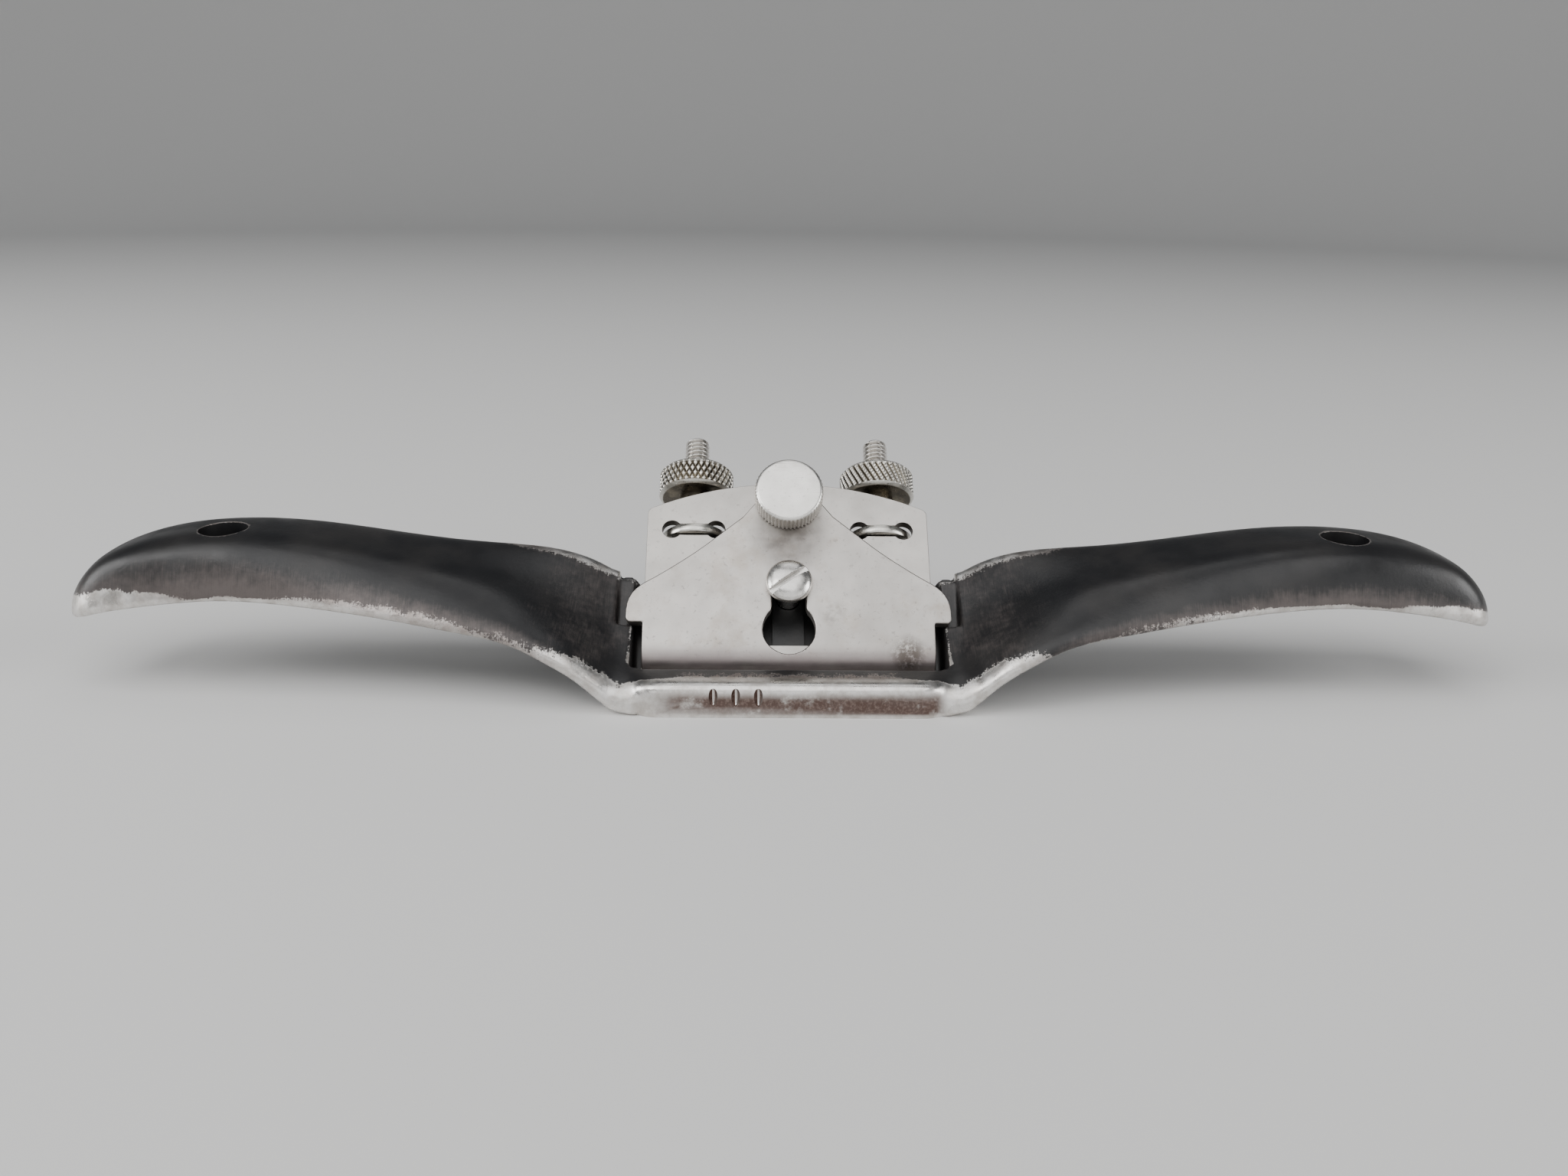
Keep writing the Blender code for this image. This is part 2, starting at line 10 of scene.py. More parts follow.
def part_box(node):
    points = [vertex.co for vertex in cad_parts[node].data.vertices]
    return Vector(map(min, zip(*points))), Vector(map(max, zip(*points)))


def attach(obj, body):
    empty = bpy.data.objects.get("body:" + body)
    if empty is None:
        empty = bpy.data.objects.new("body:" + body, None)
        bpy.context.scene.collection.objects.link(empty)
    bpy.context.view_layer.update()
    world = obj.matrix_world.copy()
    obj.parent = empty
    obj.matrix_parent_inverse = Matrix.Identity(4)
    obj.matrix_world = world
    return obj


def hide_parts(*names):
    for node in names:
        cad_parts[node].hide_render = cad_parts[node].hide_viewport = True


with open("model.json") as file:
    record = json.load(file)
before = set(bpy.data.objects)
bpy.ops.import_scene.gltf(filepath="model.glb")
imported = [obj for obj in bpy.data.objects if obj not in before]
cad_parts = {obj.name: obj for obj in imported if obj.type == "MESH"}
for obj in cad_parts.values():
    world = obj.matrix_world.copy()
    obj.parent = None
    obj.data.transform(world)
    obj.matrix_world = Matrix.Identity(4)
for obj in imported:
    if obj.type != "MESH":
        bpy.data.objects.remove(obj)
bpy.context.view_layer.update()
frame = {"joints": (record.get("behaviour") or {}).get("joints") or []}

joints = {joint["name"]: joint for joint in frame["joints"]}


# ---- camera and studio ------------------------------------------------------------------------
# The tool stands on its sole on a pale sweep, seen from the front and a little above, with one
# large soft light over the front of the bench and dimmer ones to the sides.
VIEW_FROM = Vector((-0.0069, -0.22814, 0.09374))
VIEW_DOWN = math.radians(19.2)
VIEW_ASIDE = math.radians(1.55)
VIEW_ROLL = math.radians(0.92)

camera = bpy.data.objects.new("camera", bpy.data.cameras.new("camera"))
bpy.context.scene.collection.objects.link(camera)
camera.data.sensor_width = 36.0
camera.data.lens = 29.13
camera.data.clip_start = 0.01
camera.data.clip_end = 20.0
turn = Matrix.Rotation(-VIEW_ASIDE, 4, "Z") @ Matrix.Rotation(math.pi / 2 - VIEW_DOWN, 4, "X")
camera.matrix_world = Matrix.Translation(VIEW_FROM) @ turn @ Matrix.Rotation(VIEW_ROLL, 4, "Z")
bpy.context.scene.camera = camera

# A round dish of paper with an upturned rim, so that the tool can be looked at from any side.
bm = bmesh.new()
line = [(0.0, 0.0), (0.4, 0.0), (1.3, 0.0)]
line += [(1.3 + 0.7 * math.sin(a), 0.7 - 0.7 * math.cos(a)) for a in np.linspace(0.1, 1.3, 12)]
line = [bm.verts.new((r, 0, z - 0.00004)) for r, z in line]
rim = [bm.edges.new(pair) for pair in zip(line, line[1:])]
bmesh.ops.spin(
    bm, geom=line + rim, axis=(0, 0, 1), cent=(0, 0, 0), angle=2 * math.pi, steps=96, use_merge=True
)
bmesh.ops.remove_doubles(bm, verts=bm.verts, dist=1e-6)
bmesh.ops.recalc_face_normals(bm, faces=bm.faces)
if sum(face.normal.z for face in bm.faces) < 0:
    bmesh.ops.reverse_faces(bm, faces=bm.faces)
for face in bm.faces:
    face.smooth = True
sweep_mesh = bpy.data.meshes.new("sweep")
bm.to_mesh(sweep_mesh)
bm.free()
sweep = bpy.data.objects.new("sweep", sweep_mesh)
bpy.context.scene.collection.objects.link(sweep)
paper = bpy.data.materials.new("sweep_paper")
paper.use_nodes = True
paper.node_tree.nodes["Principled BSDF"].inputs["Base Color"].default_value = (0.74, 0.735, 0.725, 1)
paper.node_tree.nodes["Principled BSDF"].inputs["Roughness"].default_value = 0.9
sweep_mesh.materials.append(paper)


def soft_light(name, at, size, watts, aim=(0, 0, 0.015)):
    """A soft box that faces the tool."""
    lamp = bpy.data.lights.new(name, "AREA")
    lamp.shape = "RECTANGLE"
    lamp.size, lamp.size_y = size
    lamp.energy = watts
    box = bpy.data.objects.new(name, lamp)
    bpy.context.scene.collection.objects.link(box)
    box.location = at
    box.visible_camera = False
    box.rotation_euler = (Vector(aim) - Vector(at)).to_track_quat("-Z", "Y").to_euler()
    return box


soft_light("over_front", (-0.15, -0.51, 1.09), (1.6, 1.1), 10.5)
soft_light("over_back", (0.05, 0.32, 0.95), (0.5, 0.4), 0.8)
soft_light("low_front", (0.1, -1.25, 0.42), (2.2, 0.7), 5.0)
soft_light("key", (-0.55, -0.5, 0.85), (0.35, 0.35), 1.3)
soft_light("left_side", (-1.0, -0.25, 0.42), (0.5, 0.6), 6.0)
soft_light("right_side", (1.0, -0.35, 0.40), (0.5, 0.6), 5.0)

world = bpy.data.worlds.new("room")
world.use_nodes = True
world.node_tree.nodes["Background"].inputs["Color"].default_value = (0.9, 0.95, 1.0, 1)
world.node_tree.nodes["Background"].inputs["Strength"].default_value = 0.10
bpy.context.scene.world = world


# ---- body casting -----------------------------------------------------------------------------
# One malleable-iron casting: the sole with its front bar, two cheeks, the sloping bed with a
# centre rib, and two upswept handles with hang holes. Black japanning is baked on all over, and
# hands and work have rubbed it through to bright iron along the front edges and the tips.
MM = 0.001
EDGE_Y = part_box("cutter")[0].y / MM - 0.1     # the cutting edge, from which the tool is laid out
SLOPE = math.radians(45)                      # of the bed
SOLE = {"front": -10.0, "rear": 17.0, "thick": 3.2, "half": 28.2, "corner": 5.0}
BAR = {"rear": -2.2, "high": 6.0, "round": 1.9}
CHEEK = 28.6
ROOT_WALL = 31.7
BED_FACE = -2.3
HANG_HOLE = (100.9, 8.2, 4.2)

# Sections of a handle out from the middle: x, then y and z of eight points round the section:
# rear edge, rear top, crown, upper front, nose, front bottom, belly, rear bottom.
HANDLE = (
    (25.0, (16.0, 4.0), (14.5, 8.0), (6.0, 7.6), (-3.0, 5.6), (-9.1, 3.6), (-9.1, -0.9), (3.0, -1.0), (14.5, -1.0)),
    (28.6, (18.6, 12.5), (16.8, 17.0), (8.0, 11.2), (-1.0, 6.9), (-8.5, 4.3), (-8.5, -0.1), (3.0, -0.8), (16.0, 1.0)),
    (31.5, (18.9, 13.2), (17.0, 17.6), (8.0, 11.9), (-1.0, 7.8), (-8.3, 4.9), (-8.4, 0.8), (3.0, 0.4), (16.0, 4.5)),
    (34.5, (19.3, 14.4), (17.5, 18.5), (8.5, 13.3), (-0.4, 9.8), (-8.0, 7.2), (-8.3, 3.3), (3.0, 3.0), (16.0, 8.2)),
    (38.0, (20.0, 16.1), (18.0, 20.0), (9.0, 15.2), (0.4, 12.4), (-7.6, 10.0), (-8.1, 6.3), (3.0, 6.6), (16.0, 11.4)),
    (43.0, (20.5, 17.6), (18.3, 21.4), (9.5, 17.5), (1.5, 15.2), (-6.6, 12.5), (-7.2, 9.1), (4.0, 9.9), (17.0, 13.6)),
    (50.0, (21.0, 18.7), (18.5, 22.3), (9.5, 19.9), (2.0, 18.2), (-5.2, 14.8), (-5.8, 11.9), (4.0, 12.6), (17.0, 15.5)),
    (60.0, (21.3, 19.7), (18.5, 23.1), (9.5, 22.1), (2.2, 20.8), (-4.2, 16.4), (-4.5, 13.7), (4.0, 14.6), (17.0, 16.8)),
    (72.0, (21.5, 21.0), (18.5, 24.6), (9.5, 24.4), (2.2, 23.0), (-3.2, 18.0), (-3.4, 15.6), (5.0, 16.2), (17.0, 18.0)),
    (85.0, (21.4, 23.0), (18.2, 26.5), (9.5, 26.8), (2.2, 25.4), (-2.4, 19.7), (-2.4, 17.1), (5.0, 17.7), (17.0, 19.4)),
    (98.0, (20.8, 24.2), (17.4, 27.5), (9.0, 28.1), (1.6, 26.8), (-2.1, 20.8), (-1.9, 17.9), (6.0, 18.0), (16.4, 19.9)),
    (110.0, (19.6, 23.2), (16.0, 26.8), (8.5, 27.4), (1.4, 26.0), (-1.7, 19.7), (-1.4, 16.9), (6.0, 17.5), (15.2, 19.2)),
    (119.0, (17.6, 20.6), (14.4, 24.2), (8.0, 24.9), (1.6, 23.6), (-0.8, 18.0), (-0.5, 15.3), (6.0, 16.2), (13.4, 17.8)),
    (124.0, (15.4, 18.0), (12.8, 20.8), (8.0, 21.7), (2.6, 20.5), (0.2, 16.8), (0.4, 14.0), (6.0, 13.9), (12.0, 15.0)),
    (126.6, (12.0, 16.0), (10.6, 17.8), (7.6, 18.4), (4.0, 17.8), (1.8, 15.4), (1.8, 13.3), (6.0, 13.2), (10.2, 13.9)),
)
HANDLE_END = (127.4, 6.6, 15.4)


def lay(at=(0, 0, 0), lean=0.0):
    """From a drawing in millimetres, leant about X, to its place on the tool in metres."""
    place = Matrix.Translation((at[0], at[1] + EDGE_Y, at[2]))
    return Matrix.Scale(MM, 4) @ place @ Matrix.Rotation(lean, 4, "X")


def on_bed(x, up, out):
    """A point given up the bed and out of it, in millimetres."""
    return (x, (up - out) * math.cos(SLOPE), (up + out) * math.sin(SLOPE))


def made(name, bm, place, sharp=35.0):
    """An object from a drawing, smooth but for the edges sharper than an angle."""
    bm.transform(place)
    bmesh.ops.remove_doubles(bm, verts=bm.verts, dist=1e-8)
    bmesh.ops.recalc_face_normals(bm, faces=bm.faces)
    for face in bm.faces:
        face.smooth = True
    for edge in bm.edges:
        edge.smooth = len(edge.link_faces) == 2 and edge.calc_face_angle(0) < math.radians(sharp)
    data = bpy.data.meshes.new(name)
    bm.to_mesh(data)
    bm.free()
    thing = bpy.data.objects.new(name, data)
    bpy.context.scene.collection.objects.link(thing)
    return thing


def settle(thing):
    """Fixes an object's modifiers into its mesh."""
    graph = bpy.context.evaluated_depsgraph_get()
    fixed = bpy.data.meshes.new_from_object(thing.evaluated_get(graph))
    thing.modifiers.clear()
    old = thing.data
    thing.data = fixed
    bpy.data.meshes.remove(old)


def carve(thing, blank, operation="DIFFERENCE"):
    step = thing.modifiers.new("carve", "BOOLEAN")
    step.object = blank
    step.operation = operation
    step.solver = "EXACT"
    settle(thing)
    bpy.data.objects.remove(blank, do_unlink=True)


def grow(bm, outline, along):
    """A prism from a closed outline of points, grown along a vector."""
    face = bm.faces.new([bm.verts.new(point) for point in outline])
    grown = bmesh.ops.extrude_face_region(bm, geom=[face])
    far = [v for v in grown["geom"] if isinstance(v, bmesh.types.BMVert)]
    bmesh.ops.translate(bm, vec=along, verts=far)
    return bm


def rail(side, half):
    """A bar along X from its side outline in Y, Z."""
    return grow(bmesh.new(), [(-half, y, z) for y, z in side], (2 * half, 0, 0))


def slab(outline, low, high):
    """A plate from its outline in X, Y, between two heights."""
    return grow(bmesh.new(), [(x, y, low) for x, y in outline], (0, 0, high - low))


def oblong(x0, x1, y0, y1):
    return [(x0, y0), (x1, y0), (x1, y1), (x0, y1)]


def ease(bm, pick, by, segments=3):
    """Rounds the edges that a test picks by their two ends."""
    edges = [e for e in bm.edges if pick(e.verts[0].co, e.verts[1].co)]
    bmesh.ops.bevel(
        bm, geom=edges, offset=by, segments=segments, profile=0.5, affect="EDGES", material=-1
    )


def lathe(outline, steps):
    """A turned solid about local Z from radius and height pairs."""
    bm = bmesh.new()
    line = [bm.verts.new((r, 0, z)) for r, z in outline]
    edges = [bm.edges.new(pair) for pair in zip(line, line[1:])]
    bmesh.ops.spin(
        bm, geom=line + edges, axis=(0, 0, 1), cent=(0, 0, 0), angle=2 * math.pi, steps=steps, use_merge=True
    )
    bmesh.ops.remove_doubles(bm, verts=bm.verts, dist=1e-5)
    return bm


def handles():
    """Both handle blanks: a cage of extruded rings whose smoothed skin passes through the sections."""
    wanted = np.array([[(x, y, z) for y, z in ring] for x, *ring in HANDLE])
    cage = wanted.copy()
    for _ in range(30):
        across = (np.roll(cage, 1, axis=1) + 4 * cage + np.roll(cage, -1, axis=1)) / 6
        before = np.concatenate([across[:1], across[:-1]])
        after = np.concatenate([across[1:], across[-1:]])
        cage += 0.8 * (wanted - (before + 4 * across + after) / 6)
    bm = bmesh.new()
    ring = [bm.verts.new(point) for point in cage[0]]
    bm.faces.new(ring[::-1])
    edges = [bm.edges.get((ring[i], ring[(i + 1) % 8])) for i in range(8)]
    for section in cage[1:]:
        grown = bmesh.ops.extrude_edge_only(bm, edges=edges)["geom"]
        ring = [next(e.other_vert(v) for e in v.link_edges if e.other_vert(v) in grown) for v in ring]
        for vert, point in zip(ring, section):
            vert.co = point
        edges = [bm.edges.get((ring[i], ring[(i + 1) % 8])) for i in range(8)]
    tip = bm.verts.new(HANDLE_END)
    for i in range(8):
        bm.faces.new((ring[i], ring[(i + 1) % 8], tip))
    grown = bmesh.ops.duplicate(bm, geom=bm.verts[:] + bm.edges[:] + bm.faces[:])["geom"]
    copied = [v for v in grown if isinstance(v, bmesh.types.BMVert)]
    bmesh.ops.scale(bm, vec=(-1, 1, 1), verts=copied)
    thing = made("handles", bm, lay())
    skin = thing.modifiers.new("skin", "SUBSURF")
    skin.levels = skin.render_levels = 3
    settle(thing)
    return thing


side = [(SOLE["front"], -0.6), (SOLE["rear"], -0.6), (SOLE["rear"], SOLE["thick"])]
side += [(BAR["rear"] + 0.7, SOLE["thick"]), (BAR["rear"] + 0.7, BAR["high"]), (SOLE["front"], BAR["high"])]
bm = rail(side, SOLE["half"])
ease(bm, lambda a, b: abs(a.z - b.z) > 5 and a.y < -9, SOLE["corner"], 8)
ease(bm, lambda a, b: min(a.z, b.z) > 5.5 and max(a.y, b.y) < -5.5, BAR["round"], 6)
casting = made("body_iron", bm, lay())
carve(casting, handles(), "UNION")

low_bed = [(-4.0, BED_FACE + 0.6), (19.0, BED_FACE + 0.6), (19.0, -9.0), (-4.0, -9.0)]
carve(casting, made("low_bed", rail(low_bed, CHEEK + 1.0), lay(lean=SLOPE)), "UNION")
bm = slab(oblong(-25.4, 25.4, 1.0, 31.25), BED_FACE - 6.9, BED_FACE + 0.5)
ease(bm, lambda a, b: a.y > 20 and b.y > 20 and abs(a.z - b.z) > 1, 4.0, 6)
carve(casting, made("high_bed", bm, lay(lean=SLOPE)), "UNION")
web = [(9.0, 1.0), (16.4, 1.0), (25.5, 17.0), (18.0, 17.0)]
carve(casting, made("rear_web", rail(web, 3.5), lay()), "UNION")
boss = [(0, -13.0), (4.6, -13.0), (5.0, -12.4), (5.0, -4.0), (0, -4.0)]
carve(casting, made("screw_boss", lathe(boss, 48), lay(on_bed(0, 20.2, 0), SLOPE)), "UNION")

bay = [(BAR["rear"], -2.0), (1.253, -2.0), (60.0, 56.747), (60.0, 90.0), (BAR["rear"], 90.0)]
carve(casting, made("cutter_bay", rail(bay, CHEEK), lay()))
recess = [(12.5, 0.6), (60.0, 0.6), (60.0, 40.0), (12.5, 40.0)]
carve(casting, made("ear_recess", rail(recess, ROOT_WALL), lay(lean=SLOPE)))
cheek_end = [(22.9, -2.0), (60.0, -2.0), (60.0, 30.0), (22.9, 30.0)]
carve(casting, made("cheek_end", rail(cheek_end, ROOT_WALL - 0.02), lay(lean=SLOPE)))

# The mould leaves soft corners everywhere, so the whole skin is relaxed a little.
skin = casting.modifiers.new("skin", "REMESH")
skin.mode = "VOXEL"
skin.voxel_size = 0.00036
skin.use_smooth_shade = True
relax = casting.modifiers.new("relax", "SMOOTH")
relax.factor = 0.5
relax.iterations = 7
thin = casting.modifiers.new("thin", "DECIMATE")
thin.ratio = 0.48
settle(casting)

# The ends of the bar flow into the handles.
bm = bmesh.new()
bm.from_mesh(casting.data)
front = [v for v in bm.verts if v.co.y / MM - EDGE_Y < -4.0 and v.co.z > 1.6 * MM]
for spread in np.linspace(7.0, 1.0, 30):
    flow = [v for v in front if 26 - spread < abs(v.co.x) / MM < 31 + spread]
    bmesh.ops.smooth_vert(bm, verts=flow, factor=0.5, use_axis_x=True, use_axis_y=True, use_axis_z=True)
bm.to_mesh(casting.data)
bm.free()

# Cut afterwards: the flat sole, the pockets and holes, and three nicks struck in the bar.
carve(casting, made("sole_cut", slab(oblong(-60, 60, -40, 60), -20, 0.0), lay()))
for hand in (-1, 1):
    x0, x1 = sorted((hand * 2.95, hand * 11.0))
    bm = slab(oblong(x0, x1, 6.0, 28.0), BED_FACE - 1.5, 1.0)
    ease(bm, lambda a, b: abs(a.z - b.z) > 1, 1.2, 4)
    carve(casting, made("bed_pocket", bm, lay(lean=SLOPE)))
    x, y, r = HANG_HOLE
    carve(casting, made("hang_hole", lathe([(0, 0), *[(r, z) for z in np.linspace(0, 50, 120)], (0, 50)], 96), lay((hand * x, y, 0))))
    bm = lathe([(0, 0), (2.6, 0), (2.6, 30), (0, 30)], 40)
    carve(casting, made("stud_hole", bm, lay(on_bed(hand * 18.05, 22.2, -5.5), SLOPE - math.pi / 2)))
bm = lathe([(0, -30), (2.35, -30), (2.35, 10), (0, 10)], 40)
carve(casting, made("screw_hole", bm, lay(on_bed(0, 20.2, 0), SLOPE)))
for x in (-13.4, -9.5, -5.6):
    bm = bmesh.new()
    bmesh.ops.create_uvsphere(bm, u_segments=40, v_segments=24, radius=1.0)
    bmesh.ops.scale(bm, vec=(0.78, 1.0, 2.0), verts=bm.verts)
    bmesh.ops.rotate(bm, verts=bm.verts, cent=(0, 0, 0), matrix=Matrix.Rotation(math.radians(12), 3, "X"))
    carve(casting, made("nick", bm, lay((x, SOLE["front"] - 0.12, 4.1))))
for face in casting.data.polygons:
    face.use_smooth = True
casting.data.set_sharp_from_angle(angle=math.radians(48))


def away(points, route):
    """How far each point lies from a route of straight runs, and where along it, in millimetres."""
    best = np.full(len(points), 1e9)
    where = np.zeros(len(points))
    for start, end in zip(route, route[1:]):
        run = end - start
        part = np.clip((points - start) @ run / (run @ run), 0, 1)
        gap = np.linalg.norm(points - start - part[:, None] * run, axis=1)
        nearer = gap < best
        best[nearer] = gap[nearer]
        where[nearer] = (start + part[:, None] * run)[nearer, 0]
    return best, where


def fade(value, near, far):
    step = np.clip((value - near) / (far - near), 0, 1)
    return 1 - step * step * (3 - 2 * step)


count = len(casting.data.vertices)
spots = np.empty(count * 3)
casting.data.vertices.foreach_get("co", spots)
spots = spots.reshape(-1, 3) / MM - np.array([0, EDGE_Y, 0])
facing = np.empty(count * 3)
casting.data.vertices.foreach_get("normal", facing)
facing = facing.reshape(-1, 3)
right = spots[:, 0] > 0
out = spots * np.array([0, 1, 1])
out[:, 0] = np.abs(spots[:, 0])
sections = np.array([[(x, y, z) for y, z in ring] for x, *ring in HANDLE])
low_edge = sections[1:, 4] * 0.3 + sections[1:, 5] * 0.7
gap, x = away(out, low_edge)
reach = np.interp(
    x,
    [28, 33, 38, 44, 52, 60, 70, 82, 92, 104, 112, 118, 127],
    [3.2, 3.4, 2.7, 1.5, 0.9, 1.3, 1.6, 1.3, 0.6, 0.7, 2.0, 3.2, 3.4],
)
reach *= np.where(right & (x > 45), 0.62, 1.0)
crisp = np.interp(x, [28, 40, 50, 100, 110], [1.3, 1.0, 0.55, 0.55, 1.4])
wear = np.clip(0.5 + crisp * (1 - gap / reach), 0, 1.1)
line = fade(gap, 0.6, 1.0)
wear = np.maximum(wear, 1.1 * line)
reach = np.interp(x, [28, 45, 60, 75, 90, 110, 127], [3.6, 3.0, 4.5, 6.5, 8.0, 8.5, 7.0]) * np.where(right, 0.55, 1.0)
thin = np.clip(1.1 - gap / reach, 0, 1)
gap, x = away(out, sections[1:9, 1])
rear = np.clip(0.95 - 0.5 * gap / 1.7, 0, 1) * fade(x, 46, 58)
wear = np.maximum(wear, rear)
thin = np.maximum(thin, np.clip(0.8 - gap / 5.0, 0, 1) * fade(x, 44, 60))
thin = np.maximum(thin, 0.36 * fade(out[:, 0], 36, 56) * (out[:, 0] > 29) * fade(-out[:, 2], -9, -6))
cheek = np.array([(28.7, -2.2, 6.5), (28.7, 0.0, 7.5), (28.7, 4.0, 9.4), (28.7, 9.0, 11.9)])
gap, x = away(out, cheek)
wear = np.maximum(wear, np.clip(1.1 - 0.6 * gap / 0.45, 0, 1))
inside = out[:, 0] < 29.5
front = (spots[:, 1] < -8.2) & inside
wear = np.where(front, 1.1, wear)
shelf = inside & (spots[:, 1] >= -8.2) & (spots[:, 1] < -1.8) & (spots[:, 2] > 3)
ends = 1 - fade(out[:, 0], 19.0, 24.0)
worn = np.interp(spots[:, 1], [-8.2, -6.9, -5.8, -4.6, -2.2], [1.1, 0.86, 0.5, 0.36, 0.3])
worn -= ends * np.interp(spots[:, 1], [-7.6, -6.4], [0.0, 0.7])
wear = np.where(shelf, worn, wear)
sole = (spots[:, 2] < 0.3) & (facing[:, 2] < -0.6)
wear = np.where(sole, 1.3, wear)
x, y, r = HANG_HOLE
ring = np.abs(np.hypot(out[:, 0] - x, out[:, 1] - y) - r)
wear = np.maximum(wear, 0.7 * fade(ring, 0.1, 0.45) * (facing[:, 2] > 0.35) * (out[:, 2] > 20))
bore = (ring < 0.3) & (facing[:, 2] < 0.35)
wear[bore] = thin[bore] = 0.0
brown_and_nick_shade = fade(spots[:, 1], -9.3, -8.2) * fade(-spots[:, 0], 19, 25) * fade(spots[:, 0], 25, 28)
brown_and_nick_shade *= fade(spots[:, 2], 3.2, 5.0) * fade(-spots[:, 2], -0.9, -0.3)
brown_and_nick_shade = np.maximum(brown_and_nick_shade, 0.55 * (1 - line) * (1 - fade(out[:, 0], 38, 50)) * fade(out[:, 0], 106, 116))
brown_and_nick_shade = np.maximum(brown_and_nick_shade, 0.7 * shelf * (spots[:, 1] > -6.4) * (1 - ends))
# Inside each nick the wall that faces right gets the rust colour at full strength: painted shade on the side turned
# away from the light.
for x in (-13.4, -9.5, -5.6):
    nick = fade(np.abs(spots[:, 0] - x), 0.75, 0.95) * front * (np.abs(spots[:, 2] - 4.1) < 1.9)
    skin_y = SOLE["front"] + BAR["round"] - np.sqrt(BAR["round"] ** 2 - np.clip(spots[:, 2] - 4.1, 0, 1.8) ** 2)
    nick = (nick > 0.5) & (spots[:, 1] > skin_y + 0.12)
    brown_and_nick_shade = np.where(nick, 1.6 * (facing[:, 0] > 0.2), brown_and_nick_shade)
for name, values in (("wear", wear), ("thin", thin), ("brown_and_nick_shade", brown_and_nick_shade)):
    held = casting.data.attributes.new(name, "FLOAT", "POINT")
    held.data.foreach_set("value", values.astype(np.float32))


class Finish:
    """A material being mixed: short names for the shader nodes that the finishes share."""

    def __init__(self, name):
        self.material = bpy.data.materials.new(name)
        self.material.use_nodes = True
        self.tree = self.material.node_tree
        self.shader = self.tree.nodes["Principled BSDF"]
        self.place = self.tree.nodes.new("ShaderNodeTexCoord").outputs["Object"]

    def feed(self, socket, value):
        if isinstance(value, bpy.types.NodeSocket):
            self.tree.links.new(value, socket)
        elif socket.type == "RGBA" and not isinstance(value, (int, float)):
            socket.default_value = (*value, 1.0)
        else:
            socket.default_value = value

    def noise(self, size, detail=3.0, rough=0.55, stretch=(1, 1, 1), turned=(0, 0, 0)):
        """Noise with features of about this size in millimetres, drawn out along an axis."""
        where = self.tree.nodes.new("ShaderNodeMapping")
        where.inputs["Scale"].default_value = [1.0 / (size * MM * s) for s in stretch]
        where.inputs["Rotation"].default_value = [math.radians(a) for a in turned]
        self.tree.links.new(self.place, where.inputs["Vector"])
        node = self.tree.nodes.new("ShaderNodeTexNoise")
        node.inputs["Scale"].default_value = 1.0
        node.inputs["Detail"].default_value = detail
        node.inputs["Roughness"].default_value = rough
        self.tree.links.new(where.outputs["Vector"], node.inputs["Vector"])
        return node.outputs["Fac"]

    def sum(self, a, b, operation="ADD"):
        node = self.tree.nodes.new("ShaderNodeMath")
        node.operation = operation
        self.feed(node.inputs[0], a)
        self.feed(node.inputs[1], b)
        return node.outputs[0]

    def ramp(self, value, low, high, to_low=0.0, to_high=1.0):
        node = self.tree.nodes.new("ShaderNodeMapRange")
        node.interpolation_type = "SMOOTHSTEP"
        for socket, given in zip(node.inputs, (value, low, high, to_low, to_high)):
            self.feed(socket, given)
        return node.outputs["Result"]

    def blend(self, fraction, a, b):
        node = self.tree.nodes.new("ShaderNodeMix")
        node.data_type = "RGBA"
        self.feed(node.inputs["Factor"], fraction)
        self.feed([s for s in node.inputs if s.name == "A" and s.type == "RGBA"][0], a)
        self.feed([s for s in node.inputs if s.name == "B" and s.type == "RGBA"][0], b)
        return [s for s in node.outputs if s.type == "RGBA"][0]

    def near(self, spot, size):
        """One at a point of the tool given in metres, fading out at a distance in millimetres."""
        node = self.tree.nodes.new("ShaderNodeVectorMath")
        node.operation = "DISTANCE"
        node.inputs[1].default_value = spot
        self.tree.links.new(self.place, node.inputs[0])
        return self.ramp(node.outputs["Value"], size * MM, 0.25 * size * MM)

    def mark(self, name):
        node = self.tree.nodes.new("ShaderNodeAttribute")
        node.attribute_name = name
        return node.outputs["Fac"]

    def bump(self, height, depth, under=None):
        """Relief of this depth in millimetres."""
        node = self.tree.nodes.new("ShaderNodeBump")
        node.inputs["Distance"].default_value = depth * MM
        self.feed(node.inputs["Height"], height)
        if under is not None:
            self.tree.links.new(under, node.inputs["Normal"])
        return node.outputs["Normal"]

    def set(self, **values):
        for name, value in values.items():
            self.feed(self.shader.inputs[name.replace("_", " ")], value)
        return self.material


iron = Finish("japanned_iron")
blotch = iron.sum(iron.noise(5, 3), 0.5, "SUBTRACT")
flake = iron.sum(iron.noise(1.3, 4, 0.65), 0.5, "SUBTRACT")
speck = iron.sum(iron.noise(0.38, 3, 0.7), 0.5, "SUBTRACT")
stroke = iron.sum(iron.noise(0.22, 3, 0.6, stretch=(1, 14, 14)), 0.5, "SUBTRACT")
rubbed = iron.sum(iron.mark("wear"), iron.sum(blotch, 0.35, "MULTIPLY"))
rubbed = iron.sum(rubbed, iron.sum(flake, 0.75, "MULTIPLY"))
rubbed = iron.sum(rubbed, iron.sum(speck, 0.8, "MULTIPLY"))
rubbed = iron.sum(rubbed, iron.sum(stroke, 0.35, "MULTIPLY"))
bare = iron.ramp(rubbed, 0.42, 0.62)
faint = iron.sum(iron.mark("thin"), iron.sum(iron.sum(blotch, flake), 0.6, "MULTIPLY"))
faint = iron.sum(iron.ramp(iron.sum(faint, iron.sum(stroke, 0.5, "MULTIPLY")), 0.2, 1.0), 0.85, "MULTIPLY")
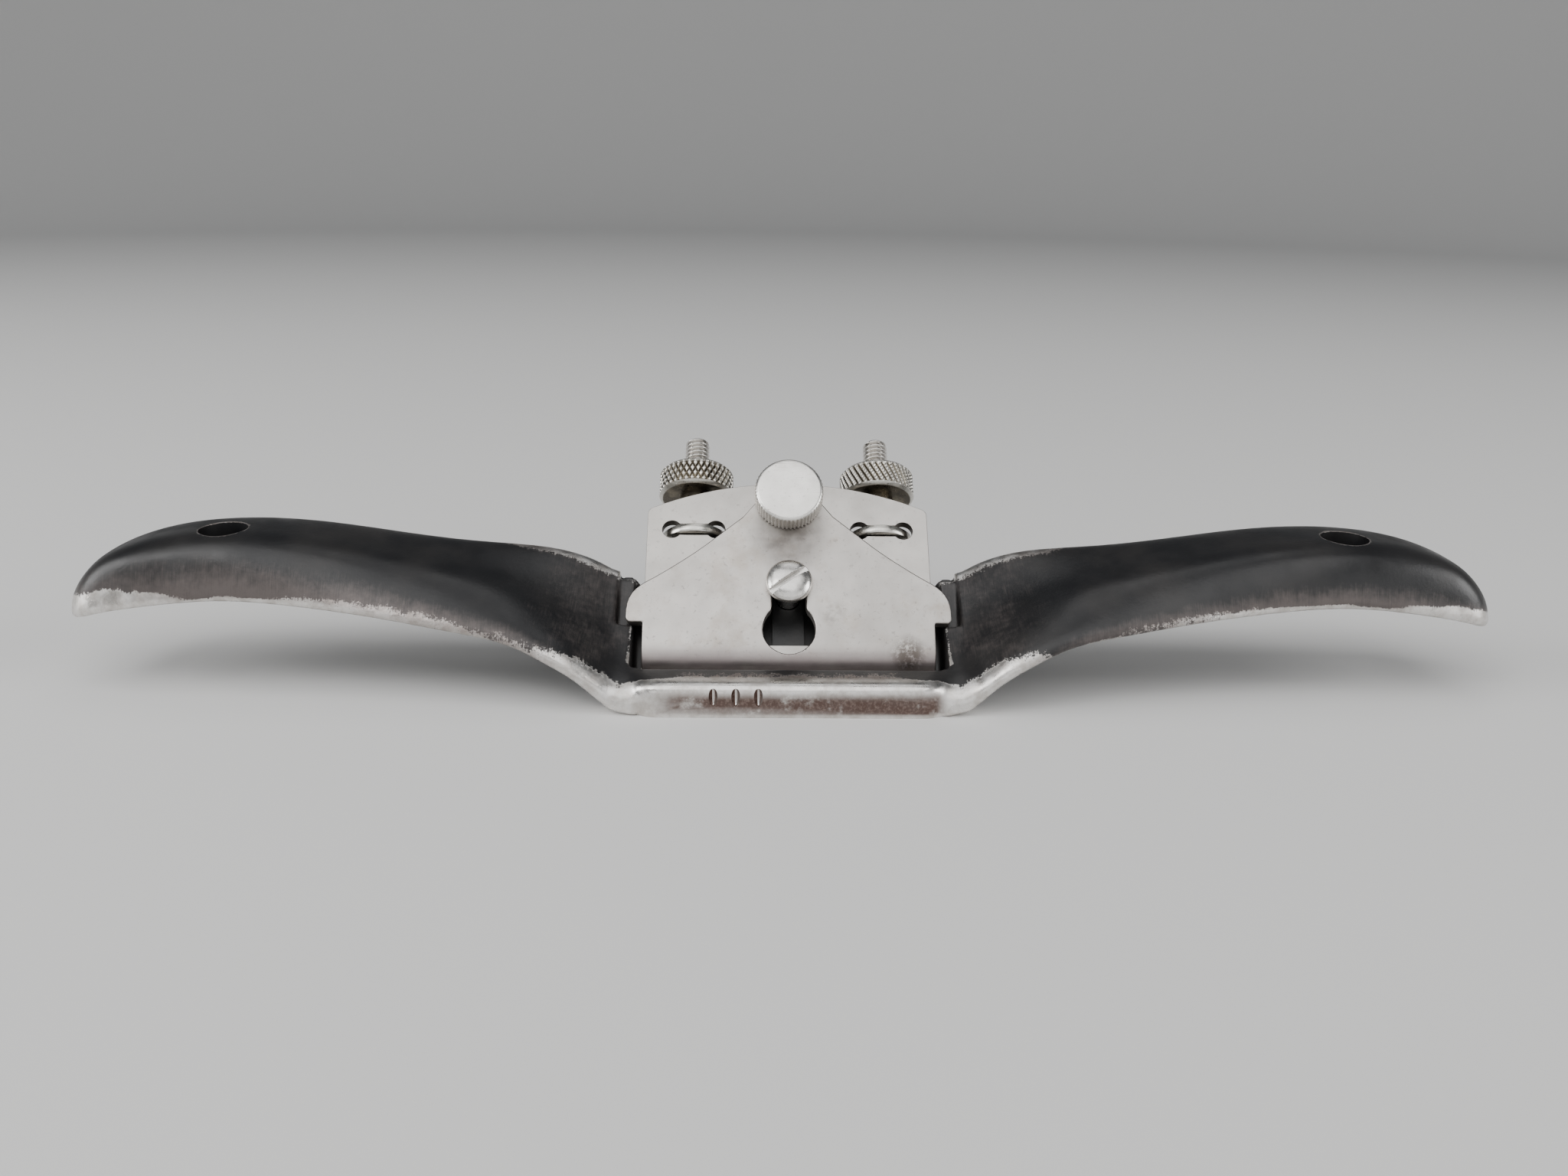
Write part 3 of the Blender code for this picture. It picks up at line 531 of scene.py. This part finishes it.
paint = iron.blend(iron.ramp(iron.noise(14, 4), 0.35, 0.7), (0.0075, 0.0075, 0.0085), (0.020, 0.0185, 0.018))
dust = iron.ramp(iron.noise(0.5, 4, 0.75), 0.66, 0.8)
paint = iron.blend(iron.sum(dust, 0.25, "MULTIPLY"), paint, (0.10, 0.095, 0.09))
paint = iron.blend(faint, paint, (0.125, 0.106, 0.10))
metal = iron.blend(iron.ramp(iron.noise(2.6, 5, 0.65), 0.35, 0.7), (0.80, 0.78, 0.755), (0.56, 0.525, 0.49))
pits = iron.ramp(iron.noise(0.42, 3, 0.7), 0.6, 0.72)
pits = iron.sum(pits, iron.ramp(iron.mark("wear"), 1.0, 0.7, 0.1, 0.5), "MULTIPLY")
metal = iron.blend(pits, metal, (0.12, 0.10, 0.09))
# The brown mark is real rust and tarnish, and in the nicks also painted shade.
tarnish_and_shade = iron.sum(iron.mark("brown_and_nick_shade"), iron.ramp(iron.noise(3.2, 5, 0.6), 0.22, 0.46), "MULTIPLY")
oxide_and_shade_colour = iron.blend(iron.ramp(iron.noise(0.6, 4, 0.65), 0.42, 0.72), (0.105, 0.062, 0.05), (0.22, 0.16, 0.14))
metal = iron.blend(iron.sum(tarnish_and_shade, 0.94, "MULTIPLY"), metal, oxide_and_shade_colour)
shine = iron.ramp(iron.noise(2.5, 4), 0.3, 0.75, 0.24, 0.44)
shine = iron.sum(shine, iron.sum(tarnish_and_shade, 0.16, "MULTIPLY"))
gloss = iron.sum(iron.ramp(iron.noise(6, 5), 0.3, 0.75, 0.3, 0.44), iron.sum(dust, 0.2, "MULTIPLY"))
node = iron.tree.nodes.new("ShaderNodeMix")
iron.feed(node.inputs[0], bare)
iron.feed(node.inputs[2], gloss)
iron.feed(node.inputs[3], shine)
grain = iron.bump(iron.sum(iron.noise(0.7, 4, 0.6), iron.sum(stroke, iron.mark("thin"), "MULTIPLY")), 0.03)
step = iron.bump(iron.sum(1.0, bare, "SUBTRACT"), 0.03, grain)
conduct = iron.sum(bare, iron.sum(faint, 0.5, "MULTIPLY"), "MAXIMUM")
iron.set(Base_Color=iron.blend(bare, paint, metal), Metallic=conduct, Roughness=node.outputs[0], Normal=step)
casting.data.materials.clear()
casting.data.materials.append(iron.material)
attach(casting, "body")
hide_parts("body_casting")


# ---- cutter -----------------------------------------------------------------------------------
# A flat plate of tool steel with a rounded top, ground bright. Two dumbbell slots take the flanges
# of the adjusting nuts and a window in the middle clears the cap screw. It lies on the bed.
CUTTER_HALF = 27.0
CUTTER_THICK = 2.0


def swing(cx, cy, radius, start, end, steps):
    angles = [math.radians(start + (end - start) * i / steps) for i in range(steps + 1)]
    return [(cx + radius * math.cos(a), cy + radius * math.sin(a)) for a in angles]


def eased(thing, by, segments=3, angle=35.0):
    """Breaks the sharp edges of a carved plate, marks the bevels and walls that face up the bed (painted shade on the
    cap), and keeps its flats flat.
    """
    step = thing.modifiers.new("edges", "BEVEL")
    step.width = by * MM
    step.segments = segments
    step.limit_method = "ANGLE"
    step.angle_limit = math.radians(angle)
    step.miter_outer = "MITER_ARC"
    step.use_clamp_overlap = False
    settle(thing)
    edges = []
    for face in thing.data.polygons:
        face.use_smooth = True
        out = face.normal.dot(Vector((0, -math.sin(SLOPE), math.cos(SLOPE))))
        up = face.normal.dot(Vector((0, math.cos(SLOPE), math.sin(SLOPE))))
        edges.append(0.0 if abs(out) > 0.99 or up < 0.12 else 1.0)
    held = thing.data.attributes.new("edge", "FLOAT", "FACE")
    held.data.foreach_set("value", edges)
    even = thing.modifiers.new("even", "WEIGHTED_NORMAL")
    even.keep_sharp = True
    even.weight = 80


side = [(0.15, 0), (50, 0), (50, -CUTTER_THICK), (4.2, -CUTTER_THICK), (0.15, -0.1)]
cutter = made("cutter_steel", rail(side, CUTTER_HALF), lay(lean=SLOPE))
reach = math.degrees(math.asin(CUTTER_HALF / 65.0))
outline = [(-CUTTER_HALF, -3), (CUTTER_HALF, -3), *swing(0, 44.1 - 65.0, 65.0, 90 - reach, 90 + reach, 64)]
bm = slab(outline, -5, 3)
ease(bm, lambda a, b: abs(a.z - b.z) > 1 and abs(a.x) > 26.9 and a.y > 10, 0.9, 5)
carve(cutter, made("cutter_outline", bm, lay(lean=SLOPE)), "INTERSECT")
bite = math.degrees(math.asin(1.15 / 1.85))
dumbbell = swing(4.2, 0, 1.85, -180 + bite, 180 - bite, 32) + swing(-4.2, 0, 1.85, bite, 360 - bite, 32)
for hand in (-1, 1):
    carve(cutter, made("slot", slab(dumbbell, -5, 3), lay(on_bed(hand * 18.05, 33.85, 0), SLOPE)))
bm = slab(oblong(-5.5, 5.5, 9.7, 29.5), -5, 3)
ease(bm, lambda a, b: abs(a.z - b.z) > 1, 1.2, 4)
carve(cutter, made("window", bm, lay(lean=SLOPE)))
# The walls of the slots get a mark that the steel turns almost black: painted shade inside the slots.
walls = []
for face in cutter.data.polygons:
    middle = Vector(face.center) / MM - Vector((0, EDGE_Y, 0))
    up = (middle.y + middle.z) * math.cos(SLOPE)
    near_slot = min(math.hypot(abs(middle.x) - 18.05 - o, up - 33.85) for o in (-4.2, 0, 4.2)) < 3.2
    flat = abs(face.normal.dot(Vector((0, -math.sin(SLOPE), math.cos(SLOPE))))) > 0.7
    walls.append(1.0 if near_slot and not flat else 0.0)
held = cutter.data.attributes.new("slot_shade", "FLOAT", "FACE")
held.data.foreach_set("value", walls)
eased(cutter, 0.14, 2)

steel = Finish("ground_steel")
cloud = steel.noise(16, 4)
spot = steel.ramp(steel.noise(2.6, 5, 0.7), 0.62, 0.74)
tone = steel.blend(steel.ramp(cloud, 0.35, 0.68), (0.60, 0.575, 0.542), (0.49, 0.465, 0.437))
tone = steel.blend(steel.sum(spot, 0.55, "MULTIPLY"), tone, (0.30, 0.27, 0.245))
fleck = steel.ramp(steel.noise(0.8, 4, 0.75), 0.58, 0.72)
tone = steel.blend(steel.sum(fleck, 0.5, "MULTIPLY"), tone, (0.24, 0.215, 0.20))
# Painted shade: the slot walls are coloured almost black.
tone = steel.blend(steel.sum(steel.mark("slot_shade"), 0.93, "MULTIPLY"), tone, (0.035, 0.028, 0.022))
lines = steel.noise(0.16, 3, 0.6, stretch=(30, 1, 1), turned=(0, 0, 4))
rough = steel.ramp(steel.noise(5, 5), 0.3, 0.7, 0.34, 0.46)
steel.set(Base_Color=tone, Metallic=1.0, Roughness=rough, Normal=steel.bump(lines, 0.006))
cutter.data.materials.clear()
cutter.data.materials.append(steel.material)
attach(cutter, "cutter")
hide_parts("cutter")


# ---- lever cap --------------------------------------------------------------------------------
# A thick steel plate, nickel plated with a satin face. Its lower edge is rolled down to press on
# the cutter, two ears sit in the casting, and a keyhole drops over the head of the cap screw.
CAP_TILT = math.radians(5)
CAP_THICK = 2.6
NOSE = 33.38                                  # middle of its rounded top, up from the lip
cap_place = lay(on_bed(0, 4.4, 0.12), SLOPE + CAP_TILT)
side = [(0, 0), (42, 0), (42, CAP_THICK), (4.6, CAP_THICK)]
side += [(3.6, 2.56), (2.8, 2.46), (2.1, 2.28), (1.5, 2.02), (1.0, 1.7), (0.6, 1.32), (0.3, 0.9), (0.1, 0.45)]
cap = made("lever_cap_plate", rail(side, 40.0), cap_place)
ear = 8.63
half = [(26.8, -2), (26.8, ear), (29.3, ear), (29.7, ear + 0.25), (29.9, ear + 0.8), (29.9, ear + 2.4)]
half += [(29.75, ear + 3.6), (29.45, ear + 4.7), (29.0, ear + 5.6), (28.35, ear + 6.4), (27.5, ear + 7.15)]
half += [(26.5, ear + 7.85), (25.4, ear + 8.5), (24.1, ear + 9.3), (22.7, ear + 10.2), (21.3, ear + 11.15)]
half += [(19.9, ear + 12.1), (17.8, ear + 13.6), (15.6, ear + 15.3), (13.2, ear + 17.3), (10.8, ear + 19.3)]
half += [(8.4, ear + 21.3), *swing(0, NOSE, 6.0, -4, 90, 16)]
outline = half + [(-x, y) for x, y in half[-2::-1]]
carve(cap, made("cap_outline", slab(outline, -6, 8), cap_place), "INTERSECT")
keyhole = swing(0, 7.53, 4.85, 136, 404, 56)
flare = [(3.35, 11.2), (3.2, 11.65), (3.15, 12.2)]
keyhole += flare + swing(0, 16.25, 3.15, 0, 180, 24) + [(-x, y) for x, y in flare[::-1]]
carve(cap, made("keyhole", slab(keyhole, -6, 8), cap_place))
bm = lathe([(0, -12), (2.6, -12), (2.6, 12), (0, 12)], 48)
carve(cap, made("thumb_hole", bm, cap_place @ Matrix.Translation((0, NOSE, 0))))
eased(cap, 0.3, 4)

nickel = Finish("satin_nickel")
cloud = nickel.noise(20, 4)
fleck = nickel.ramp(nickel.noise(0.9, 4, 0.75), 0.57, 0.7)
smear = nickel.ramp(nickel.noise(6.5, 5, 0.62), 0.5, 0.7)
tone = nickel.blend(nickel.ramp(cloud, 0.3, 0.7), (0.62, 0.592, 0.56), (0.50, 0.474, 0.447))
tone = nickel.blend(nickel.sum(smear, 0.5, "MULTIPLY"), tone, (0.44, 0.38, 0.32))
tone = nickel.blend(nickel.sum(fleck, 0.6, "MULTIPLY"), tone, (0.26, 0.235, 0.22))
height = nickel.tree.nodes.new("ShaderNodeVectorMath")
height.operation = "DOT_PRODUCT"
height.inputs[1].default_value = (0, math.cos(SLOPE), math.sin(SLOPE))
nickel.feed(height.inputs[0], nickel.place)
foot = EDGE_Y * math.cos(SLOPE)
# Painted shade: the rolled lip is coloured darker towards its foot, standing in for the darker reflection there.
lip_shade = nickel.ramp(height.outputs["Value"], (foot + 9.0) * MM, (foot + 5.0) * MM)
lip_shade = nickel.sum(lip_shade, nickel.ramp(nickel.noise(5, 5, 0.6), 0.2, 0.6, 0.6, 1.0), "MULTIPLY")
tone = nickel.blend(lip_shade, tone, (0.40, 0.345, 0.34))
# Painted shadow: a soft dark patch on the cap just below the thumb screw, with some finger grease.
neck = nickel.near(Vector(on_bed(0, 29.8, 5.2)) * MM + Vector((0, EDGE_Y * MM, 0)), 9.5)
tone = nickel.blend(nickel.sum(neck, nickel.ramp(nickel.noise(3, 5), 0.3, 0.7, 0.55, 0.85), "MULTIPLY"), tone, (0.13, 0.115, 0.105))
dirt = nickel.sum(nickel.near(Vector(on_bed(21.8, 7.0, 2.4)) * MM + Vector((0, EDGE_Y * MM, 0)), 4.4), nickel.ramp(nickel.noise(1.1, 5, 0.7), 0.36, 0.54), "MULTIPLY")
dirt = nickel.sum(dirt, nickel.sum(nickel.near(Vector(on_bed(8.3, 14.6, 3.4)) * MM + Vector((0, EDGE_Y * MM, 0)), 3.6), nickel.ramp(nickel.noise(1.6, 5, 0.7), 0.4, 0.65, 0.0, 0.4), "MULTIPLY"), "MAXIMUM")
tone = nickel.blend(nickel.sum(dirt, 0.8, "MULTIPLY"), tone, (0.10, 0.08, 0.065))
# Painted shade: the bevels and walls that face up the bed are coloured dark, a painted dark outline along the cap's
# upper edges and round the keyhole.
tone = nickel.blend(nickel.sum(nickel.mark("edge"), 0.82, "MULTIPLY"), tone, (0.06, 0.05, 0.045))
hairs = nickel.noise(0.12, 3, 0.6, stretch=(1, 26, 26), turned=(0, 0, 31))
rough = nickel.ramp(nickel.noise(4, 5), 0.3, 0.72, 0.38, 0.5)
rough = nickel.sum(rough, nickel.sum(lip_shade, 0.12, "MULTIPLY"))
nickel.set(Base_Color=tone, Metallic=1.0, Roughness=rough, Normal=nickel.bump(hairs, 0.005))
cap.data.materials.clear()
cap.data.materials.append(nickel.material)
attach(cap, "cap")
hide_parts("lever_cap")


# ---- lever cap screw --------------------------------------------------------------------------
# A domed machine screw with one driver slot, turned from steel and polished. Its thread goes
# through the cap's keyhole and the cutter's window into the boss behind the bed.
HEAD_R = 4.28
seat = 0.3 + (20.2 - 4.4 + HEAD_R) * math.tan(CAP_TILT) + CAP_THICK / math.cos(CAP_TILT) + 0.1
outline = [(0, -11.5 - seat), (1.8, -11.5 - seat), (2.2, -11.1 - seat), (2.2, 0), (HEAD_R - 0.3, 0)]
outline += [(HEAD_R - 0.08, 0.08), (HEAD_R, 0.3), (HEAD_R, 0.72)]
outline += [(HEAD_R * math.cos(a), 0.72 + 1.66 * math.sin(a)) for a in np.linspace(0.12, 1.45, 14)] + [(0, 2.38)]
screw_place = lay(on_bed(0, 20.2, seat), SLOPE)
screw = made("lever_cap_screw_steel", lathe(outline, 96), screw_place)
bm = slab(oblong(-8, 8, -0.52, 0.52), 1.05, 6)
bmesh.ops.rotate(bm, verts=bm.verts, cent=(0, 0, 0), matrix=Matrix.Rotation(math.radians(36), 3, "Z"))
carve(screw, made("driver_slot", bm, screw_place))
eased(screw, 0.09, 2, 40)

bright = Finish("polished_steel")
tone = bright.blend(bright.ramp(bright.noise(2.4, 4), 0.35, 0.7), (0.78, 0.76, 0.73), (0.62, 0.60, 0.57))
rough = bright.ramp(bright.noise(1.4, 5), 0.3, 0.72, 0.2, 0.34)
bright.set(Base_Color=tone, Metallic=1.0, Roughness=rough, Normal=bright.bump(bright.noise(0.18, 3, 0.6, (12, 1, 1)), 0.004))
screw.data.materials.clear()
screw.data.materials.append(bright.material)
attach(screw, "cap_screw")
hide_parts("lever_cap_screw")


# ---- thumb screw ------------------------------------------------------------------------------
# Turned steel, plated like the cap, with a straight-knurled rim. It is threaded through the top
# of the cap, and its point presses the cutter down on the bed.
THUMB_R = 6.45
THUMB_HIGH = 4.0
TEETH = 54
outline = [(0, -5.56), (2.0, -5.56), (2.5, -5.06), (2.5, -0.3), (THUMB_R - 0.35, -0.3), (THUMB_R - 0.1, -0.18)]
outline += [(THUMB_R, z) for z in np.linspace(0.0, THUMB_HIGH - 0.62, 9)]
outline += [(THUMB_R - 0.16, THUMB_HIGH - 0.36), (THUMB_R - 0.4, THUMB_HIGH - 0.09), (THUMB_R - 0.75, THUMB_HIGH)]
outline += [(THUMB_R - 3, THUMB_HIGH + 0.0), (0, THUMB_HIGH)]
bm = lathe(outline, TEETH * 8)
for vert in bm.verts:
    r = math.hypot(vert.co.x, vert.co.y)
    if r > THUMB_R - 0.2 and -0.2 < vert.co.z < THUMB_HIGH - 0.4:
        wave = 0.5 - 0.5 * math.cos(TEETH * math.atan2(vert.co.y, vert.co.x))
        vert.co.xy *= 1 - 0.32 * wave ** 1.6 / r
thumb_place = lay(on_bed(0, 4.4, 0.3), SLOPE + CAP_TILT) @ Matrix.Translation((0, NOSE, CAP_THICK + 0.3))
thumb = made("thumb_screw_steel", bm, thumb_place, 60)

pale = Finish("pale_nickel")
tone = pale.blend(pale.ramp(pale.noise(5, 4), 0.35, 0.7), (0.86, 0.84, 0.80), (0.77, 0.75, 0.71))
fleck = pale.ramp(pale.noise(0.55, 4, 0.75), 0.6, 0.7)
tone = pale.blend(pale.sum(fleck, 0.6, "MULTIPLY"), tone, (0.28, 0.25, 0.23))
line = pale.ramp(pale.noise(0.3, 3, 0.6, stretch=(22, 1, 1), turned=(0, 0, 52)), 0.62, 0.7)
tone = pale.blend(pale.sum(line, 0.35, "MULTIPLY"), tone, (0.36, 0.33, 0.30))
rough = pale.ramp(pale.noise(2, 5), 0.3, 0.72, 0.26, 0.4)
pale.set(Base_Color=tone, Metallic=1.0, Roughness=rough, Normal=pale.bump(pale.noise(0.15, 3, 0.6), 0.005))
thumb.data.materials.append(pale.material)
even = thumb.modifiers.new("even", "WEIGHTED_NORMAL")
even.keep_sharp = True
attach(thumb, "thumb_screw")
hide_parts("lever_cap_thumb_screw")


# ---- adjusting nuts ---------------------------------------------------------------------------
# Two plated nuts turned in one piece: a diamond-knurled head, a neck, and a thin flange that
# runs in the cutter's slot, so that turning a nut carries the cutter up or down the bed.
knurled = Finish("knurled_plate")
# Painted shade: the knurl grooves, in proportion to their depth, and the neck and the bore are coloured dark.
tone = knurled.blend(knurled.mark("recess_shade"), (0.70, 0.68, 0.63), (0.07, 0.055, 0.035))
patch = knurled.ramp(knurled.noise(3.5, 4), 0.45, 0.7)
tone = knurled.blend(knurled.sum(patch, 0.35, "MULTIPLY"), tone, (0.50, 0.44, 0.33))
knurled.set(Base_Color=tone, Metallic=1.0, Roughness=knurled.ramp(knurled.noise(1.0, 4), 0.3, 0.7, 0.24, 0.38))

NUT_R = 7.35
# The left nut has a clean diamond knurl; on the right one the roller has tracked twice one way.
for hand, which, twice in ((-1, "left", 1), (1, "right", 2)):
    bottom, top = 9.65, 15.15
    rows = np.linspace(bottom + 0.6, top - 0.5, 42)
    outline = [(2.55, -0.85), (6.35, -0.85), (6.5, -0.7), (6.5, 0.7), (6.35, 0.85), (3.2, 0.85), (3.2, bottom)]
    outline += [(6.55, bottom), (6.75, bottom + 0.06), (NUT_R - 0.08, bottom + 0.5)]
    outline += [(NUT_R, z) for z in rows] + [(NUT_R - 0.45, top), (2.55, top), (2.55, -0.85)]
    bm = lathe(outline, 570)
    recess_shade = bm.verts.layers.float.new("recess_shade")
    for vert in bm.verts:
        r = math.hypot(vert.co.x, vert.co.y)
        if r > NUT_R - 0.01 and rows[0] - 0.01 < vert.co.z < rows[-1] + 0.01:
            around = math.atan2(vert.co.y, vert.co.x) * 38 / (2 * math.pi)
            along = (vert.co.z - bottom) / 2.25
            first = 1 - abs((around + along) % 1 - 0.5) * 2
            second = 1 - abs(((around - along) * twice) % 1 - 0.5) * 2
            first, second = 1 - first / 0.62, (1 - second / 0.66) / twice
            depth = max(first, second, 0.0)
            depth *= min(1.0, max((vert.co.z - rows[0]) / 0.25, 0), max((rows[-1] - vert.co.z) / 0.25, 0))
            vert.co.xy *= 1 - 0.42 * depth / r
            vert[recess_shade] = min(1.0, depth * 1.3)
        # The neck under the head and the bore are marked for painted shade too.
        elif 0.9 < vert.co.z < bottom + 0.05 or r < 3.3:
            vert[recess_shade] = 0.9
    nut = made(f"adjusting_nut_{which}_steel", bm, lay(on_bed(hand * 18.05, 33.85, -5.5), SLOPE - math.pi / 2), 50)
    nut.data.materials.append(knurled.material)
    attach(nut, f"nut_{which}")
    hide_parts(f"adjusting_nut_{which}")


# ---- adjuster studs ---------------------------------------------------------------------------
# Two steel studs with a rolled thread, screwed tight into the top edge of the bed. The nuts run
# on the ends that stand out.
thread = Finish("rolled_thread")
# Painted shade: the thread roots are coloured darker in proportion to their depth.
tone = thread.blend(thread.mark("thread_root_shade"), (0.74, 0.72, 0.69), (0.26, 0.235, 0.21))
thread.set(Base_Color=tone, Metallic=1.0, Roughness=thread.ramp(thread.noise(0.8, 4), 0.3, 0.7, 0.22, 0.36))

PITCH = 0.907
STUD_R = 2.45
for hand, which in ((-1, "left"), (1, "right")):
    length = 34.3
    rows = np.arange(0.5, length - 0.45, PITCH / 10)
    outline = [(0, 0), (STUD_R - 0.5, 0)] + [(STUD_R, z) for z in rows] + [(STUD_R - 0.6, length), (0, length)]
    bm = lathe(outline, 60)
    thread_root_shade = bm.verts.layers.float.new("thread_root_shade")
    for vert in bm.verts:
        r = math.hypot(vert.co.x, vert.co.y)
        if r > STUD_R - 0.01:
            turn = vert.co.z / PITCH - math.atan2(vert.co.y, vert.co.x) / (2 * math.pi)
            flank = abs(turn % 1 - 0.5) * 2
            depth = min(max(flank * 1.25 - 0.12, 0.0), 1.0)
            vert.co.xy *= 1 - 0.4 * depth / r
            vert[thread_root_shade] = max(depth - 0.35, 0.0) * 1.5
    stud = made(f"adjuster_stud_{which}_steel", bm, lay(on_bed(hand * 18.05, 22.5, -5.5), SLOPE - math.pi / 2), 60)
    stud.data.materials.append(thread.material)
    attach(stud, "body")
    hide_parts(f"adjuster_stud_{which}")
